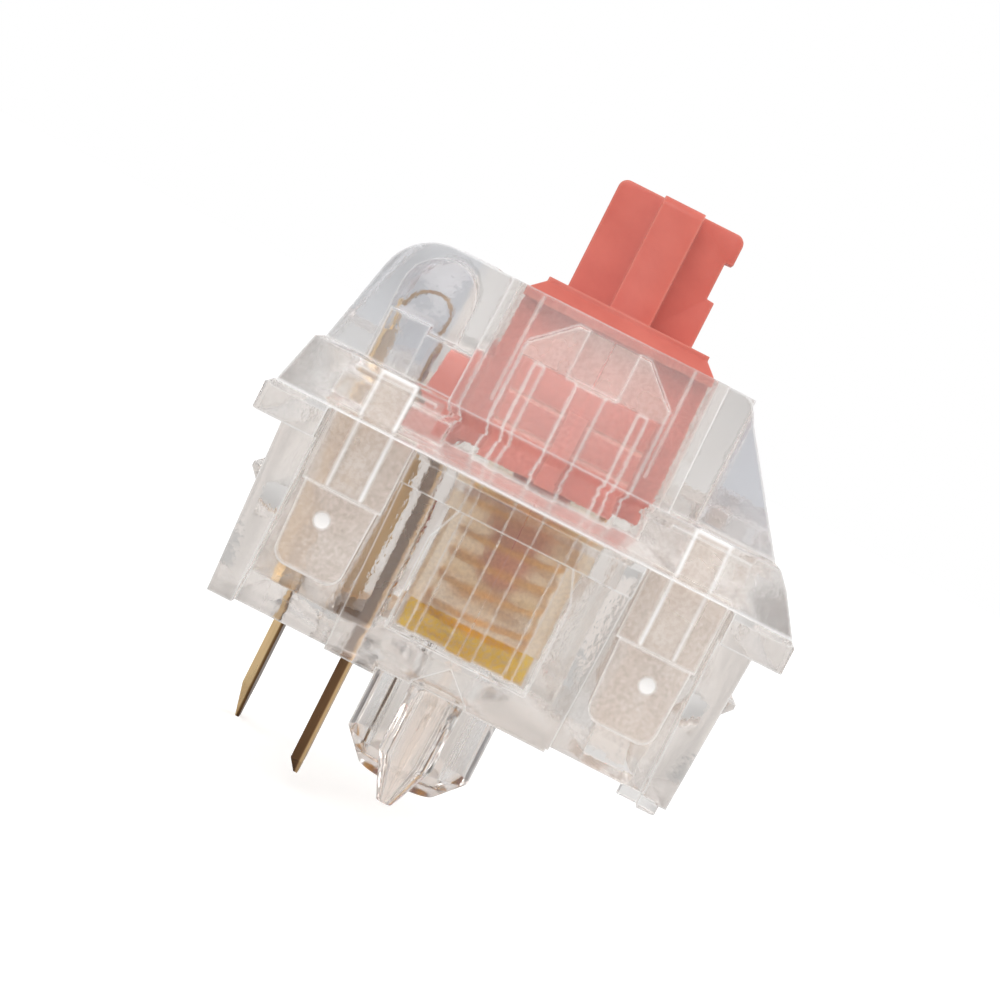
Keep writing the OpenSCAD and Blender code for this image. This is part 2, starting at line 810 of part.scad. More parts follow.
module return_spring() {
    rings = coil_turns * coil_steps;
    points = [for (i = [0 : rings]) each wire_ring(i / coil_steps)];
    skin = [for (i = [0 : rings - 1], k = [0 : wire_sides - 1])
        let (next = (k + 1) % wire_sides, a = i * wire_sides, b = a + wire_sides)
        [a + k, a + next, b + next, b + k]];
    first_cap = [for (k = [wire_sides - 1 : -1 : 0]) k];
    last_cap = [for (k = [0 : wire_sides - 1]) rings * wire_sides + k];
    color(gold_colour)
        polyhedron(points, concat(skin, [first_cap], [last_cap]), convexity = 10);
}

// Flat contact pin with a narrowed end of height tip_h, from its tip up to z1
module contact_pin(length, tip_h, z1) {
    w = pin_w;
    t = strip_t;
    intersection() {
        along_y(w)
            polygon([[-t / 2, z1], [-t / 2, -length + tip_h], [t / 2 - t / 3, -length], [t / 2, -length], [t / 2, z1]]);
        along_x(-t, t)
            polygon([[-w / 2, z1], [-w / 2, -length + tip_h], [-w / 5, -length], [w / 5, -length],
                [w / 2, -length + tip_h], [w / 2, z1]]);
    }
}

module static_contact() {
    upright_z = rim_z - touch;
    color(brass_colour) {
        translate([-fixed_pin_x, -fixed_pin_y, 0])
            contact_pin(fixed_pin_l, 0.4, upright_z);
        block([tongue_x, -fixed_pin_y - pin_w / 2, chamber_z],
            [-fixed_pin_x + strip_t / 2, tongue_w / 2, chamber_z + strip_t]);
        block([tongue_x, -tongue_w / 2, chamber_z], [tongue_x + strip_t, tongue_w / 2, tongue_z]);
    }
}

module static_crosspoint() {
    point_l = 0.7;
    color(gold_colour)
        translate([tongue_x, 0, point_z - point_l / 2])
            linear_extrude(point_l)
                polygon([[0, -0.28], [0, 0.28], [-point_h, 0.07], [-point_h, -0.07]]);
}

module moving_contact_terminal() {
    plate_x = strip_face - leaf_t / 2;
    plate_y = 2.7;
    plate_z = 4.4;
    lap = 0.4;
    tip_h = 1.1;
    foot_z = chamber_z;
    color(brass_colour) {
        block([strip_face - leaf_t, -strap_w / 2, plate_z - lap], [strip_face, strap_w / 2, bend_z + 0.15]);
        block([strip_face - leaf_t, -leaf_w / 2, plate_z - lap], [strip_face, leaf_w / 2, leaf_wide_z]);
        block([plate_x, -plate_y, foot_z], [plate_x + strip_t, moving_pin_y + pin_w / 2, plate_z]);
        block([plate_x, moving_pin_y - pin_w / 2, foot_z],
            [-moving_pin_x + strip_t / 2, moving_pin_y + pin_w / 2, foot_z + strip_t]);
        translate([-moving_pin_x, moving_pin_y, 0])
            contact_pin(moving_pin_l, tip_h, foot_z + strip_t);
    }
}

module contact_leaf() {
    arm_y = leaf_w / 2 - arm_w;
    tongue_half = 0.6;
    tongue_low = point_z - 0.4;
    color(brass_colour) {
        along_y(strap_w)
            translate([-bend_x, bend_z])
                difference() {
                    circle(bend_outer);
                    circle(bend_r - leaf_t / 2);
                    translate([-bend_outer - past, -bend_outer - past])
                        square([2 * (bend_outer + past), bend_outer + past]);
                }
        block([leaf_face - leaf_t, -strap_w / 2, leaf_slit_z], [leaf_face, strap_w / 2, bend_z]);
        block([leaf_face - leaf_t, -leaf_w / 2, leaf_slit_z], [leaf_face, leaf_w / 2, leaf_wide_z]);
        block([leaf_face - leaf_t, -tongue_half, tongue_low], [leaf_face, tongue_half, leaf_slit_z]);
        for (sy = [-1, 1])
            translate([0, sy * (arm_y + arm_w / 2), 0])
                block([leaf_face - leaf_t, -arm_w / 2, arm_low_z], [leaf_face, arm_w / 2, leaf_slit_z]);
    }
}

module moving_crosspoint() {
    point_l = 0.7;
    color(gold_colour)
        translate([leaf_face, 0, point_z])
            along_y(point_l)
                polygon([[0, -0.28], [point_h, -0.07], [point_h, 0.07], [0, 0.28]]);
}

bottom_housing();
top_housing();
stem();
return_spring();
static_contact();
static_crosspoint();
moving_contact_terminal();
contact_leaf();
moving_crosspoint();
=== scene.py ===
import math
import bpy
from mathutils import Euler, Matrix, Vector


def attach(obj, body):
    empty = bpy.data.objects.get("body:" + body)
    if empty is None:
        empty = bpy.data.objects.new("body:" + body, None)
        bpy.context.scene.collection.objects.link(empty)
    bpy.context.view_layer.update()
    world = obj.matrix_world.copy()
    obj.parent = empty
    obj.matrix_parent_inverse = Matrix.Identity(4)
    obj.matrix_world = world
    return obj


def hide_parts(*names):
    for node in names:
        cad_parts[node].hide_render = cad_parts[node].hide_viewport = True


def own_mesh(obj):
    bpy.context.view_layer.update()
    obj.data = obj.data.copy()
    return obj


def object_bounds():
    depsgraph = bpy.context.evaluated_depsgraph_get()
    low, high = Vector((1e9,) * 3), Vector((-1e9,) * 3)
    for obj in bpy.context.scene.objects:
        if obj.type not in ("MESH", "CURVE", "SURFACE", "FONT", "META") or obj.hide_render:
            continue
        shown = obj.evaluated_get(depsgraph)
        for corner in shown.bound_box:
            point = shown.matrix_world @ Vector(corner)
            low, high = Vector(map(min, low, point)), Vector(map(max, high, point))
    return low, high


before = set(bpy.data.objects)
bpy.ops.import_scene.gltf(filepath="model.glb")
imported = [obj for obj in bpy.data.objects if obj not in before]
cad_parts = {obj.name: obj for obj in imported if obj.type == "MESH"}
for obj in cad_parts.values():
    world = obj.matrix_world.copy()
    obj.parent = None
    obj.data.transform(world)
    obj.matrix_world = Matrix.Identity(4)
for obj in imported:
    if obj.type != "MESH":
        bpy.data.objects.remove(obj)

mm = 0.001
zoneEdge = 0.04 * mm  # how softly a zone of a moulded finish ends
boxAtLoad = [list(corner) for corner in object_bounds()]
print("frame loaded, nodes:", len(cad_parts))


# working on meshes

def deselectAll():
    if bpy.context.object and bpy.context.object.mode != "OBJECT":
        bpy.ops.object.mode_set(mode="OBJECT")
    bpy.ops.object.select_all(action="DESELECT")


def makeActive(piece):
    deselectAll()
    piece.select_set(True)
    bpy.context.view_layer.objects.active = piece


def applyModifier(piece, kind, **settings):
    makeActive(piece)
    modifier = piece.modifiers.new(kind.title(), kind)
    for key, value in settings.items():
        setattr(modifier, key, value)
    bpy.ops.object.modifier_apply(modifier=modifier.name)


def smoothFaces(piece, angle):
    makeActive(piece)
    bpy.ops.object.shade_smooth_by_angle(angle=math.radians(angle))


def dress(piece, *materials):
    piece.data.materials.clear()
    for material in materials:
        piece.data.materials.append(material)


def inBoxes(point, boxes):
    x, y, z = abs(point.x) / mm, abs(point.y) / mm, point.z / mm
    return any(b[0] < x < b[1] and b[2] < y < b[3] and b[4] < z < b[5] for b in boxes)


def mergedCopy(nodeName, pieceName, materials, mergeDistance, flatAngle=None):
    # a CAD node's loose triangles joined into one closed surface, as a piece of its own
    piece = bpy.data.objects.new(pieceName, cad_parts[nodeName].data.copy())
    bpy.context.scene.collection.objects.link(piece)
    dress(piece, *materials)
    makeActive(piece)
    bpy.ops.object.mode_set(mode="EDIT")
    bpy.ops.mesh.select_all(action="SELECT")
    bpy.ops.mesh.remove_doubles(threshold=mergeDistance)
    if flatAngle:  # and its flat faces made whole
        bpy.ops.mesh.dissolve_limited(angle_limit=math.radians(flatAngle))
    bpy.ops.object.mode_set(mode="OBJECT")
    return piece


def roundedCopy(nodeName, pieceName, materials, values):
    # the solid's own faces with the moulded edge radius put on
    piece = mergedCopy(nodeName, pieceName, materials, values["mergeDistance"], values["flatAngle"])
    applyModifier(piece, "BEVEL", width=values["edgeRadius"], segments=values["edgeSteps"],
                  limit_method="ANGLE", angle_limit=math.radians(values["edgeAngle"]),
                  use_clamp_overlap=True, miter_outer="MITER_ARC", harden_normals=False)
    applyModifier(piece, "TRIANGULATE")
    for corner in piece.data.vertices:  # two clear faces in one plane trap the light and turn grey
        if abs(corner.co.z - values["restHeight"]) < values["mergeDistance"]:
            corner.co.z += values["restGap"]
    for face in piece.data.polygons:  # the second material is for polished and for pale faces
        if face.center.z < values["polishedBelow"]:
            face.material_index = values["polishedSlot"]
        elif inBoxes(face.center, values["paleBoxes"]):
            face.material_index = values["paleSlot"]
    smoothFaces(piece, values["smoothAngle"])
    return piece


# building node trees

def newMaterial(name):
    material = bpy.data.materials.new(name)
    material.use_nodes = True
    tree = material.node_tree
    tree.nodes.clear()
    output = tree.nodes.new("ShaderNodeOutputMaterial")
    return material, tree, output


def addNode(tree, kind, inputs=None, **settings):
    node = tree.nodes.new(kind)
    for key, value in settings.items():
        setattr(node, key, value)
    for key, value in (inputs or {}).items():
        node.inputs[key].default_value = value
    return node


def objectNoise(tree, scale, detail, stretch=(1, 1, 1), roughness=0.5):
    coordinates = addNode(tree, "ShaderNodeTexCoord")
    mapping = addNode(tree, "ShaderNodeMapping", {"Scale": stretch})
    noise = addNode(tree, "ShaderNodeTexNoise", {"Scale": scale, "Detail": detail, "Roughness": roughness})
    tree.links.new(coordinates.outputs["Object"], mapping.inputs["Vector"])
    tree.links.new(mapping.outputs["Vector"], noise.inputs["Vector"])
    return noise.outputs["Fac"]


def remap(tree, source, low, high, toLow, toHigh):
    node = addNode(tree, "ShaderNodeMapRange",
                   {"From Min": low, "From Max": high, "To Min": toLow, "To Max": toHigh})
    tree.links.new(source, node.inputs["Value"])
    return node.outputs["Result"]


def colourRamp(tree, source, stops):
    ramp = addNode(tree, "ShaderNodeValToRGB")
    elements = ramp.color_ramp.elements
    while len(elements) < len(stops):
        elements.new(0.5)
    for element, (place, colour) in zip(elements, stops):
        element.position = place
        element.color = (*colour, 1)
    tree.links.new(source, ramp.inputs["Fac"])
    return ramp.outputs["Color"]


def addBump(tree, height, strength, distance):
    bump = addNode(tree, "ShaderNodeBump", {"Strength": strength, "Distance": distance})
    tree.links.new(height, bump.inputs["Height"])
    return bump.outputs["Normal"]


def mixColour(tree, share, first, second):
    # first is a socket, second a plain colour that covers it by the share
    node = addNode(tree, "ShaderNodeMixRGB", {"Color2": (*second, 1)})
    tree.links.new(share, node.inputs["Fac"])
    tree.links.new(first, node.inputs["Color1"])
    return node.outputs["Color"]


def combine(tree, operation, first, second):
    node = addNode(tree, "ShaderNodeMath", operation=operation)
    tree.links.new(first, node.inputs[0])
    tree.links.new(second, node.inputs[1])
    return node.outputs[0]


def withoutSign(tree, source):
    node = addNode(tree, "ShaderNodeMath", operation="ABSOLUTE")
    tree.links.new(source, node.inputs[0])
    return node.outputs[0]


def axisValue(tree, axis, folded=True):
    # one object coordinate, without its sign if the pattern is the same on both sides
    coordinates = addNode(tree, "ShaderNodeTexCoord")
    parts = addNode(tree, "ShaderNodeSeparateXYZ")
    tree.links.new(coordinates.outputs["Object"], parts.inputs["Vector"])
    return withoutSign(tree, parts.outputs[axis]) if folded else parts.outputs[axis]


def band(tree, source, low, high, edge):
    rise = remap(tree, source, low - edge, low + edge, 0, 1)
    fall = remap(tree, source, high - edge, high + edge, 1, 0)
    return combine(tree, "MULTIPLY", rise, fall)


def srgb(red, green, blue):
    return tuple((c / 255 / 12.92) if c <= 10 else ((c / 255 + 0.055) / 1.055) ** 2.4 for c in (red, green, blue))


edgeMaskValues = {"samples": 4, "flatFrom": 0.985, "edgeFrom": 0.86}


def edgeMask(tree, width):
    # how far the normal of a rounded edge turns away from the face, 1 on the edge and 0 on the flat
    rounded = addNode(tree, "ShaderNodeBevel", {"Radius": width}, samples=edgeMaskValues["samples"])
    flat = addNode(tree, "ShaderNodeNewGeometry")
    agreement = addNode(tree, "ShaderNodeVectorMath", operation="DOT_PRODUCT")
    tree.links.new(rounded.outputs["Normal"], agreement.inputs[0])
    tree.links.new(flat.outputs["Normal"], agreement.inputs[1])
    return remap(tree, withoutSign(tree, agreement.outputs["Value"]),
                 edgeMaskValues["flatFrom"], edgeMaskValues["edgeFrom"], 0, 1)


def zoneMask(tree, zones):
    # each zone is x from-to, y from-to, z from-to in millimetres, and how much of the finish it has
    total = None
    for xLow, xHigh, yLow, yHigh, zLow, zHigh, amount in zones:
        inX = band(tree, axisValue(tree, "X"), xLow * mm, xHigh * mm, zoneEdge)
        inY = band(tree, axisValue(tree, "Y"), yLow * mm, yHigh * mm, zoneEdge)
        inZ = band(tree, axisValue(tree, "Z", False), zLow * mm, zHigh * mm, zoneEdge)
        inside = combine(tree, "MULTIPLY", combine(tree, "MULTIPLY", inX, inY), inZ)
        share = remap(tree, inside, 0, 1, 0, amount)
        total = share if total is None else combine(tree, "MAXIMUM", total, share)
    return total


# clear plastic: the lower housing first, and the others by what differs

noZone = (0, 0.1, 0, 0.1, 0, 0.1, 0)
lowerClearValues = {
    "pale": srgb(252, 248, 245),
    "white": srgb(255, 253, 251),
    "clearShare": 0.97,
    "frostShare": 0.55,
    "ior": 1.25,  # below the real index, so that the mechanism can be read through many thin walls
    # the edge width and edge share set the white painted highlight along the rounded edges: how wide it is, and how
    # clear it stays
    "highlightEdgeWidth": 0.00011,
    "highlightEdgeClearShare": 0.15,
    "patchScale": 420,
    "roughLow": 0.05,
    "roughHigh": 0.1,
    "frostRough": 0.24,
    "grainScale": 7000,
    "grainStretch": (1, 1, 0.7),
    "grainStrength": 0.5,
    "grainDepth": 0.000016,
    "shadowTint": (0.86, 0.84, 0.82, 1),
    "frostTint": srgb(242, 234, 227),
    "zones": ((3.2, 6.1, 5.9, 6.4, 1.2, 6.0, 0.3),  # wall behind the clip legs
              (0, 3.4, 5.5, 7.1, 0.15, 1.15, 0.5),  # floor band under the window
              (0, 2.9, 4.05, 4.75, 1.0, 6.0, 0.45)),  # window in front of the spring
    "blurZones": ((0, 2.9, 4.05, 4.75, 1.0, 6.0, 1.0),),
    "paintedGlowAndToneColour": srgb(238, 186, 46),  # painted glow: the gold of the spring painted on the window, where its light scatters through
    "paintedGlowAndToneZones": ((0, 2.0, 4.05, 4.75, 1.15, 2.05, 1.0), (0, 2.1, 4.05, 4.75, 2.05, 5.3, 0.4)),
    "paintedHighlightZones": (noZone,),
    "speckle": srgb(176, 158, 146),
    "speckleScale": 9500,
    "speckleFrom": 0.38,
    "speckleTo": 0.62,
    "speckleZones": ((0, 2.9, 4.05, 4.75, 1.0, 6.0, 0.3), (3.2, 6.1, 5.9, 6.4, 1.2, 6.0, 0.25)),
}
slotClearValues = dict(  # ends of the small ejector marks on the legs
    lowerClearValues, pale=srgb(255, 253, 251), white=srgb(255, 255, 255), clearShare=0.15,
    roughLow=0.2, roughHigh=0.3, zones=(noZone,))
coverClearValues = dict(
    lowerClearValues, roughLow=0.06, roughHigh=0.12, clearShare=0.94, highlightEdgeWidth=0.00015,
    zones=((0, 2.2, 4.1, 4.4, 9.25, 10.9, 0.8), (0, 0.76, 3.6, 3.7, 9.25, 10.7, 0.8),  # pocket in the tower
           (3.3, 6.1, 6.0, 7.4, 1.4, 7.3, 0.5), (4.1, 5.3, 6.0, 7.4, 3.8, 7.4, 0.7),  # clip legs and their slots
           (0, 3.6, 6.3, 7.6, 5.85, 6.45, 0.5),  # foot of the skirt
           (0, 3.3, 4.7, 7.4, 7.45, 11.1, 0.25)),  # front of the tower
    blurZones=(noZone,),
    paintedGlowAndToneColour=srgb(240, 241, 244), paintedGlowAndToneZones=((4.25, 7.6, -1, 7.6, 7.45, 11.6, 1.0),),  # a cooler, greyer tone on the contact block and lamp wall
    paintedHighlightZones=((4.12, 4.23, 6.2, 7.4, 3.95, 7.35, 0.9), (5.12, 5.22, 6.2, 7.4, 3.95, 7.35, 0.7),  # painted highlights on the slot sides
               (2.24, 2.34, 3.6, 3.7, 7.6, 11.0, 0.5)),  # painted highlight on the side of the guide groove
    speckleZones=((0, 3.0, 3.6, 4.8, 5.8, 11.0, 0.35), (3.3, 6.1, 6.2, 7.4, 1.4, 7.3, 0.3),
                  (0, 7.6, 6.3, 7.6, 5.8, 7.4, 0.15)))
postClearValues = dict(  # polished post and pins under the board
    lowerClearValues, ior=1.49, roughLow=0.02, roughHigh=0.05, clearShare=0.97, grainStrength=0.05,
    zones=(noZone,), speckleZones=(noZone,))


def clearPlastic(name, values):
    material, tree, output = newMaterial(name)
    shader = addNode(tree, "ShaderNodeBsdfPrincipled", {"IOR": values["ior"]})
    tint = objectNoise(tree, values["patchScale"], 3)
    frost = zoneMask(tree, values["zones"])
    colour = colourRamp(tree, tint, [(0.3, values["pale"]), (0.7, values["white"])])
    colour = mixColour(tree, frost, colour, values["frostTint"])
    # painted glow of the spring's gold on the lower window, and a cooler tone on the cover
    colour = mixColour(tree, zoneMask(tree, values["paintedGlowAndToneZones"]), colour, values["paintedGlowAndToneColour"])
    speckle = remap(tree, objectNoise(tree, values["speckleScale"], 2),
                    values["speckleFrom"], values["speckleTo"], 0, 1)
    speckle = combine(tree, "MULTIPLY", speckle, zoneMask(tree, values["speckleZones"]))
    colour = mixColour(tree, speckle, colour, values["speckle"])
    # painted highlight: the rounded edges and the pale zones are painted white and made less clear
    edge = combine(tree, "MAXIMUM", edgeMask(tree, values["highlightEdgeWidth"]), zoneMask(tree, values["paintedHighlightZones"]))
    tree.links.new(mixColour(tree, edge, colour, (1, 1, 1)), shader.inputs["Base Color"])
    shares = addNode(tree, "ShaderNodeMix", {"B": values["highlightEdgeClearShare"]})
    tree.links.new(edge, shares.inputs["Factor"])
    tree.links.new(remap(tree, frost, 0, 1, values["clearShare"], values["frostShare"]), shares.inputs["A"])
    tree.links.new(shares.outputs["Result"], shader.inputs["Transmission Weight"])
    patches = remap(tree, tint, 0.35, 0.65, values["roughLow"], values["roughHigh"])
    blurred = combine(tree, "ADD", frost, zoneMask(tree, values["blurZones"]))
    tree.links.new(combine(tree, "ADD", patches, remap(tree, blurred, 0, 1, 0, values["frostRough"])),
                   shader.inputs["Roughness"])
    grain = objectNoise(tree, values["grainScale"], 2, values["grainStretch"])
    tree.links.new(addBump(tree, grain, values["grainStrength"], values["grainDepth"]), shader.inputs["Normal"])
    shadow = addNode(tree, "ShaderNodeBsdfTransparent", {"Color": values["shadowTint"]})
    path = addNode(tree, "ShaderNodeLightPath")
    mix = addNode(tree, "ShaderNodeMixShader")
    tree.links.new(path.outputs["Is Shadow Ray"], mix.inputs["Fac"])
    tree.links.new(shader.outputs["BSDF"], mix.inputs[1])
    tree.links.new(shadow.outputs["BSDF"], mix.inputs[2])
    tree.links.new(mix.outputs["Shader"], output.inputs["Surface"])
    return material


coralValues = {
    "light": srgb(217, 114, 99),
    "dark": srgb(205, 100, 86),
    # pale is the colour of the painted highlights on the stem
    "pale": srgb(238, 178, 166),
    "lines": ((0, 2.1, 4.0, 4.2, 8.13, 8.27, 0.9), (0, 2.1, 4.0, 4.2, 7.18, 7.32, 0.9)),  # painted highlight lines across the guide wing
    "highlightEdgeWidth": 0.00014,
    "highlightEdgePale": 0.35,
    "roughness": 0.45,
    "subsurface": 0.15,
    "scatter": (0.0012, 0.0005, 0.0003),
    "mottleScale": 900,
    "grainScale": 16000,
    "grainStrength": 0.15,
    "grainDepth": 0.000012,
}


def coralPlastic(name, values):
    material, tree, output = newMaterial(name)
    shader = addNode(tree, "ShaderNodeBsdfPrincipled", {
        "Roughness": values["roughness"], "Subsurface Weight": values["subsurface"],
        "Subsurface Radius": values["scatter"], "Subsurface Scale": 1.0, "IOR": 1.48})
    mottle = objectNoise(tree, values["mottleScale"], 4)
    colour = colourRamp(tree, mottle, [(0.25, values["dark"]), (0.75, values["light"])])
    # painted highlight: the rounded edges and two lines across the guide wing are painted pale
    edge = remap(tree, edgeMask(tree, values["highlightEdgeWidth"]), 0, 1, 0, values["highlightEdgePale"])
    lines = combine(tree, "MAXIMUM", zoneMask(tree, values["lines"]), edge)
    tree.links.new(mixColour(tree, lines, colour, values["pale"]), shader.inputs["Base Color"])
    grain = objectNoise(tree, values["grainScale"], 2)
    tree.links.new(addBump(tree, grain, values["grainStrength"], values["grainDepth"]), shader.inputs["Normal"])
    tree.links.new(shader.outputs["BSDF"], output.inputs["Surface"])
    return material


# metal finishes, all with streaks left by drawing or rolling

streakValues = {"detail": 5, "roughness": 0.6, "low": 0.3, "high": 0.7, "strength": 0.2, "depth": 0.00001}


def addStreaks(tree, shader, values):
    # the streaks also set the roughness and the fine relief
    streaks = objectNoise(tree, values["scale"], streakValues["detail"], values["stretch"],
                          streakValues["roughness"])
    tree.links.new(remap(tree, streaks, streakValues["low"], streakValues["high"],
                         values["roughHigh"], values["roughLow"]), shader.inputs["Roughness"])
    tree.links.new(addBump(tree, streaks, streakValues["strength"], streakValues["depth"]),
                   shader.inputs["Normal"])
    return streaks


def stampedBrass(name, values):
    # strips cut from sheet: a band along one side of each pin is painted in another tone, a painted highlight on
    # the static pin and painted shade on the moving terminal, and the tongue gets a painted highlight
    material, tree, output = newMaterial(name)
    shader = addNode(tree, "ShaderNodeBsdfPrincipled", {"Metallic": 1.0})
    streaks = addStreaks(tree, shader, values)
    # painted light and shade: the side band and the tongue are set to another tone
    place = values["pinPlace"]
    paintedSideMask = band(tree, axisValue(tree, "X", False), place + values["paintedSideFrom"], place + values["paintedSideTo"],
                 values["paintedSideEdge"])
    middle = remap(tree, axisValue(tree, "Y"), values["tongueFrom"], values["tongueTo"], values["tongueHighlight"], 0)
    paintedSideMask = combine(tree, "MAXIMUM", paintedSideMask, middle)
    shade = combine(tree, "ADD", remap(tree, streaks, streakValues["low"], streakValues["high"],
                                       -values["streakShare"], values["streakShare"]),
                    remap(tree, paintedSideMask, 0, 1, values["plain"], values["paintedSideTone"]))
    stops = [(0.15, values["dark"]), (0.5, values["middle"]), (0.85, values["light"])]
    tree.links.new(colourRamp(tree, shade, stops), shader.inputs["Base Color"])
    tree.links.new(shader.outputs["BSDF"], output.inputs["Surface"])
    return material


def platedMetal(name, values):
    material, tree, output = newMaterial(name)
    shader = addNode(tree, "ShaderNodeBsdfPrincipled", {"Metallic": 1.0})
    streaks = addStreaks(tree, shader, values)
    tree.links.new(colourRamp(tree, streaks, [(0.3, values["dark"]), (0.62, values["light"])]),
                   shader.inputs["Base Color"])
    tree.links.new(shader.outputs["BSDF"], output.inputs["Surface"])
    return material


springValues = {"light": srgb(240, 180, 40), "dark": srgb(214, 150, 30), "scale": 1500, "stretch": (1, 1, 1),
                "roughLow": 0.3, "roughHigh": 0.45}
goldValues = {"light": srgb(236, 196, 96), "dark": srgb(206, 160, 70), "scale": 3000, "stretch": (1, 1, 1),
              "roughLow": 0.18, "roughHigh": 0.3}
darkBrassValues = {
    "light": srgb(212, 180, 134), "middle": srgb(138, 104, 74), "dark": srgb(98, 73, 52),
    "scale": 1800, "stretch": (1, 1, 0.12), "streakShare": 0.12, "roughLow": 0.25, "roughHigh": 0.42,
    "pinPlace": -0.0027, "paintedSideFrom": 0.00009, "paintedSideTo": 0.0003, "paintedSideEdge": 0.00003,  # band of painted highlight along one side of the pin
    "tongueFrom": 0.0011, "tongueTo": 0.0013, "tongueHighlight": 1,  # painted highlight on the tongue in the middle
    "plain": 0.2, "paintedSideTone": 0.85,
}
leafBrassValues = dict(darkBrassValues, plain=0.55, paintedSideTone=0.6, middle=srgb(158, 124, 90))
# on this brass the side band is painted shade, and the tongue has no painted highlight
brightBrassValues = dict(darkBrassValues, light=srgb(238, 208, 160), pinPlace=-0.0053, middle=srgb(150, 116, 78),
                         plain=0.8, paintedSideTone=0.2, tongueHighlight=0)

lowerClear = clearPlastic("lowerClear", lowerClearValues)
coverClear = clearPlastic("coverClear", coverClearValues)
slotClear = clearPlastic("slotClear", slotClearValues)
postClear = clearPlastic("postClear", postClearValues)
coralStem = coralPlastic("coralStem", coralValues)
goldSpring = platedMetal("goldSpring", springValues)
darkBrass = stampedBrass("darkBrass", darkBrassValues)
brightBrass = stampedBrass("brightBrass", brightBrassValues)
leafBrass = stampedBrass("leafBrass", leafBrassValues)
contactGold = platedMetal("contactGold", goldValues)
print("materials made")


# the moulded pieces

housingValues = {"mergeDistance": 0.000004, "flatAngle": 0.5, "edgeRadius": 0.00006, "edgeSteps": 2,
                 "edgeAngle": 25, "smoothAngle": 28, "paleSlot": 1, "polishedSlot": 1, "polishedBelow": -0.00002,
                 "restHeight": 0.0059, "restGap": 0, "paleBoxes": ()}
coverValues = dict(housingValues, restGap=0.00002, paleBoxes=((4.6, 5.1, 6.88, 6.96, 2.8, 3.35),))
stemValues = {"mergeDistance": 0.000004, "flatAngle": 0.5, "edgeRadius": 0.00008, "edgeSteps": 2,
              "edgeAngle": 25, "smoothAngle": 28, "paleSlot": 0, "polishedSlot": 0, "polishedBelow": -1,
              "restHeight": 0, "restGap": 0, "paleBoxes": ()}

for nodeName, pieceName, body, materials, slotName, values in (
        ("bottom_housing", "lowerShell", "housing", (lowerClear, postClear), "clear_housing", housingValues),
        ("top_housing", "coverShell", "housing", (coverClear, slotClear), "clear_housing", coverValues),
        ("stem", "plunger", "plunger", (coralStem,), "coral_stem", stemValues)):
    shell = roundedCopy(nodeName, pieceName, materials, values)
    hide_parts(nodeName)
    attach(shell, body)
    print(pieceName, "made,", len(shell.data.polygons), "triangles")


# the metal pieces

for nodeName, material in (("return_spring", goldSpring), ("static_contact", darkBrass),
                           ("static_crosspoint", contactGold), ("moving_contact_terminal", brightBrass),
                           ("contact_leaf", leafBrass), ("moving_crosspoint", contactGold)):
    dress(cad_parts[nodeName], material)
print("metal pieces dressed")

coilValues = {"mergeDistance": 0.000004, "smoothAngle": 50, "foot": 0.0011, "travel": 0.004}
coil = mergedCopy("return_spring", "springCoil", (goldSpring,), coilValues["mergeDistance"])
smoothFaces(coil, coilValues["smoothAngle"])
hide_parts("return_spring")
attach(coil, "housing")
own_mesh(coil)  # a mesh of its own; the real coil shortens by what the stem travels, and nothing here shortens it
print("spring coil made,", len(coil.data.polygons), "triangles")


# floor, air, lamps and camera

floorValues = {"size": 1.2, "colour": (0.62, 0.62, 0.62, 1), "glow": 0.58}
lowestPoint = boxAtLoad[0][2]

deselectAll()
bpy.ops.mesh.primitive_plane_add(size=floorValues["size"], location=(0, 0, lowestPoint))
floor = bpy.context.object
floor.name = "studioFloor"
floorMaterial, floorTree, floorOutput = newMaterial("paleFloor")
floorPaint = addNode(floorTree, "ShaderNodeBsdfDiffuse", {"Color": floorValues["colour"]})
floorGlow = addNode(floorTree, "ShaderNodeEmission", {"Color": (1, 1, 1, 1)})
seen = addNode(floorTree, "ShaderNodeLightPath")
glowLevel = addNode(floorTree, "ShaderNodeMath", {1: floorValues["glow"]}, operation="MULTIPLY")
floorSum = addNode(floorTree, "ShaderNodeAddShader")
floorTree.links.new(seen.outputs["Is Camera Ray"], glowLevel.inputs[0])
floorTree.links.new(glowLevel.outputs[0], floorGlow.inputs["Strength"])
floorTree.links.new(floorPaint.outputs["BSDF"], floorSum.inputs[0])
floorTree.links.new(floorGlow.outputs["Emission"], floorSum.inputs[1])
floorTree.links.new(floorSum.outputs["Shader"], floorOutput.inputs["Surface"])
dress(floor, floorMaterial)

worldValues = {
    "fill": 0.85, "seen": 1.0,
    # dark cards at both sides give clear edges their line, and the air behind is a little dimmer
    "cards": [(0.78, (1, 1, 1)), (0.84, (0.12, 0.12, 0.13)), (0.93, (0.12, 0.12, 0.13)), (0.97, (1, 1, 1))],
    "behind": [(0.35, (1, 1, 1)), (0.7, (0.76, 0.73, 0.71))],
}
world = bpy.data.worlds.new("studioAir")
bpy.context.scene.world = world
world.use_nodes = True
worldTree = world.node_tree
worldTree.nodes.clear()
worldOutput = addNode(worldTree, "ShaderNodeOutputWorld")
fillLight = addNode(worldTree, "ShaderNodeBackground", {"Color": (1, 1, 1, 1), "Strength": worldValues["fill"]})
seenLight = addNode(worldTree, "ShaderNodeBackground", {"Color": (1, 1, 1, 1), "Strength": worldValues["seen"]})
surround = addNode(worldTree, "ShaderNodeBackground", {"Strength": worldValues["seen"]})
direction = addNode(worldTree, "ShaderNodeTexCoord")
directionParts = addNode(worldTree, "ShaderNodeSeparateXYZ")
worldTree.links.new(direction.outputs["Generated"], directionParts.inputs["Vector"])
cards = colourRamp(worldTree, withoutSign(worldTree, directionParts.outputs["X"]), worldValues["cards"])
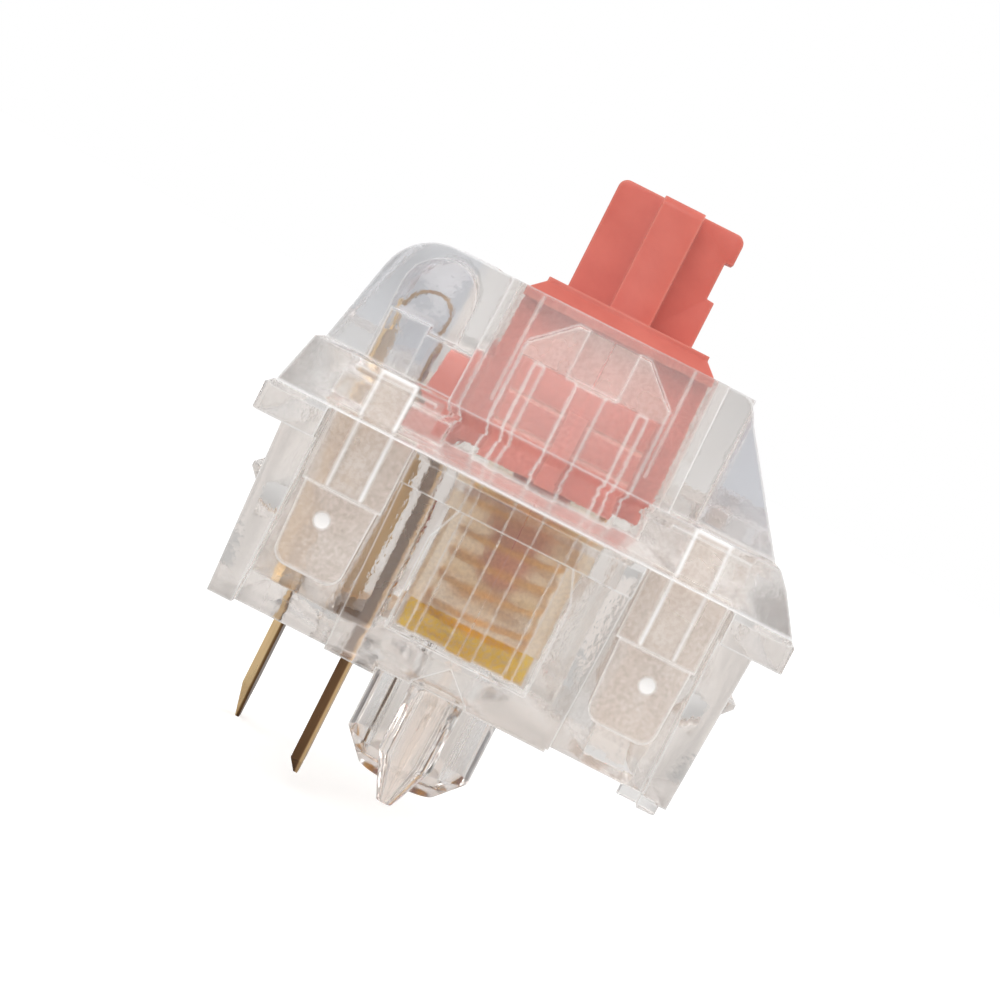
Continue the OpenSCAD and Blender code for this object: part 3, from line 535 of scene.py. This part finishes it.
behind = colourRamp(worldTree, directionParts.outputs["Y"], worldValues["behind"])
shaded = addNode(worldTree, "ShaderNodeMixRGB", {"Fac": 1.0}, blend_type="MULTIPLY")
worldTree.links.new(cards, shaded.inputs["Color1"])
worldTree.links.new(behind, shaded.inputs["Color2"])
worldTree.links.new(shaded.outputs["Color"], surround.inputs["Color"])
worldPath = addNode(worldTree, "ShaderNodeLightPath")
mirrored = combine(worldTree, "MAXIMUM", worldPath.outputs["Is Glossy Ray"],
                   worldPath.outputs["Is Transmission Ray"])
behindMix = addNode(worldTree, "ShaderNodeMixShader")
worldTree.links.new(mirrored, behindMix.inputs["Fac"])
worldTree.links.new(fillLight.outputs["Background"], behindMix.inputs[1])
worldTree.links.new(surround.outputs["Background"], behindMix.inputs[2])
worldMix = addNode(worldTree, "ShaderNodeMixShader")
worldTree.links.new(worldPath.outputs["Is Camera Ray"], worldMix.inputs["Fac"])
worldTree.links.new(behindMix.outputs["Shader"], worldMix.inputs[1])
worldTree.links.new(seenLight.outputs["Background"], worldMix.inputs[2])
worldTree.links.new(worldMix.outputs["Shader"], worldOutput.inputs["Surface"])

lampValues = {
    "target": (0, 0, 0.006), "size": 0.1,
    "lamps": (("keyPanel", (-0.03, -0.15, 0.12), 0.1), ("rimPanel", (0.1, 0.08, 0.1), 0.08)),
}
for lampName, place, power in lampValues["lamps"]:
    lampData = bpy.data.lights.new(lampName, "AREA")
    lampData.size = lampValues["size"]
    lampData.energy = power
    lamp = bpy.data.objects.new(lampName, lampData)
    lamp.location = place
    lamp.rotation_euler = (Vector(lampValues["target"]) - Vector(place)).to_track_quat("-Z", "Y").to_euler()
    bpy.context.scene.collection.objects.link(lamp)

cameraValues = {"focal": 2470.4, "place": (-0.023, -72.27, 10.33), "yaw": 0.742, "pitch": -4.046, "roll": 26.86,
                "sensor": 36.0, "imageWidth": 1000, "nearest": 0.001, "farthest": 10}
cameraData = bpy.data.cameras.new("photoCamera")
cameraData.sensor_width = cameraValues["sensor"]
cameraData.lens = cameraValues["focal"] * cameraValues["sensor"] / cameraValues["imageWidth"]
cameraData.clip_start = cameraValues["nearest"]
cameraData.clip_end = cameraValues["farthest"]
camera = bpy.data.objects.new("photoCamera", cameraData)
bpy.context.scene.collection.objects.link(camera)
camera.location = Vector(cameraValues["place"]) * mm
aim = Euler((math.radians(90 + cameraValues["pitch"]), 0, math.radians(cameraValues["yaw"]))).to_matrix()
camera.rotation_euler = (aim @ Matrix.Rotation(math.radians(cameraValues["roll"]), 3, "Z")).to_euler()
bpy.context.scene.camera = camera
bpy.context.scene.view_settings.view_transform = "Standard"
for bounceKind, limit in (("max_bounces", 24), ("glossy_bounces", 12), ("transmission_bounces", 24)):
    setattr(bpy.context.scene.cycles, bounceKind, limit)  # clear walls one behind the other need many
print("studio ready")
